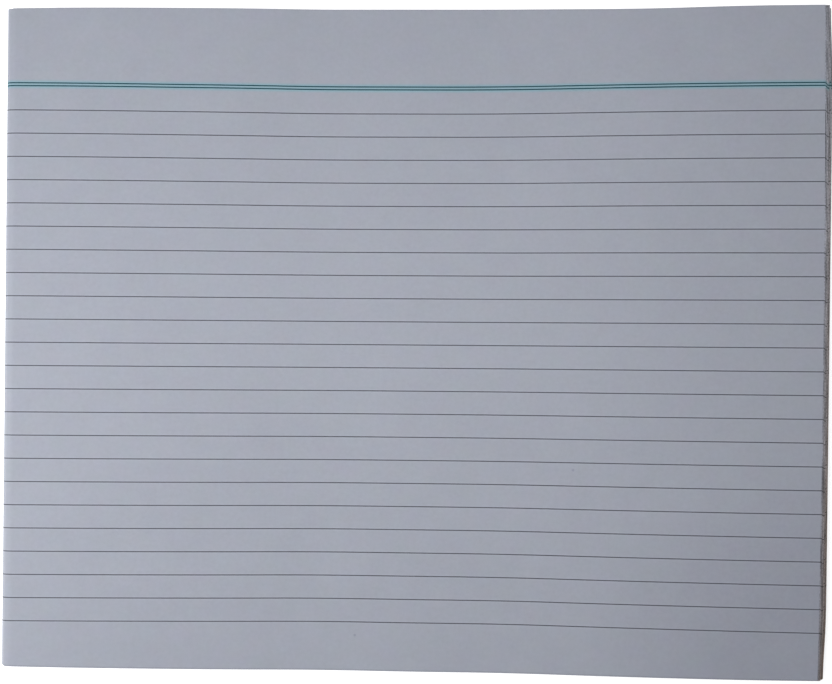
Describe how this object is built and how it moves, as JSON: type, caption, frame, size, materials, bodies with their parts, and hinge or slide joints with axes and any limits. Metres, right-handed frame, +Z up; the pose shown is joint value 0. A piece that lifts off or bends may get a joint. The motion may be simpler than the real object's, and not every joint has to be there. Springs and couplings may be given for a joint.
{
  "type": "ruled loose-leaf paper",
  "caption": "Quire of ruled loose-leaf paper: double sheets folded once and nested, with feint rules, a double header line and a gentle warp.",
  "frame": {"origin": "on the underside, below the middle of the quire's outline", "axes": "+X along the rules from the fold to the open fore-edge, +Y up the page to the head, +Z up"},
  "size_m": [0.2814, 0.2302, 0.0094],
  "materials": {
    "ruled_paper": "matte uncoated"
  },
  "bodies": {
    "root": {"folded_sheet_01": "ruled_paper", "folded_sheet_02": "ruled_paper", "folded_sheet_03": "ruled_paper", "folded_sheet_04": "ruled_paper", "folded_sheet_05": "ruled_paper", "folded_sheet_06": "ruled_paper", "folded_sheet_07": "ruled_paper", "folded_sheet_08": "ruled_paper", "folded_sheet_09": "ruled_paper", "folded_sheet_10": "ruled_paper", "folded_sheet_11": "ruled_paper", "folded_sheet_12": "ruled_paper", "folded_sheet_13": "ruled_paper", "folded_sheet_14": "ruled_paper", "folded_sheet_15": "ruled_paper", "folded_sheet_16": "ruled_paper", "folded_sheet_17": "ruled_paper", "folded_sheet_18": "ruled_paper", "folded_sheet_19": "ruled_paper", "folded_sheet_20": "ruled_paper", "folded_sheet_21": "ruled_paper", "folded_sheet_22": "ruled_paper", "folded_sheet_23": "ruled_paper", "folded_sheet_24": "ruled_paper"}
  },
  "joints": []
}
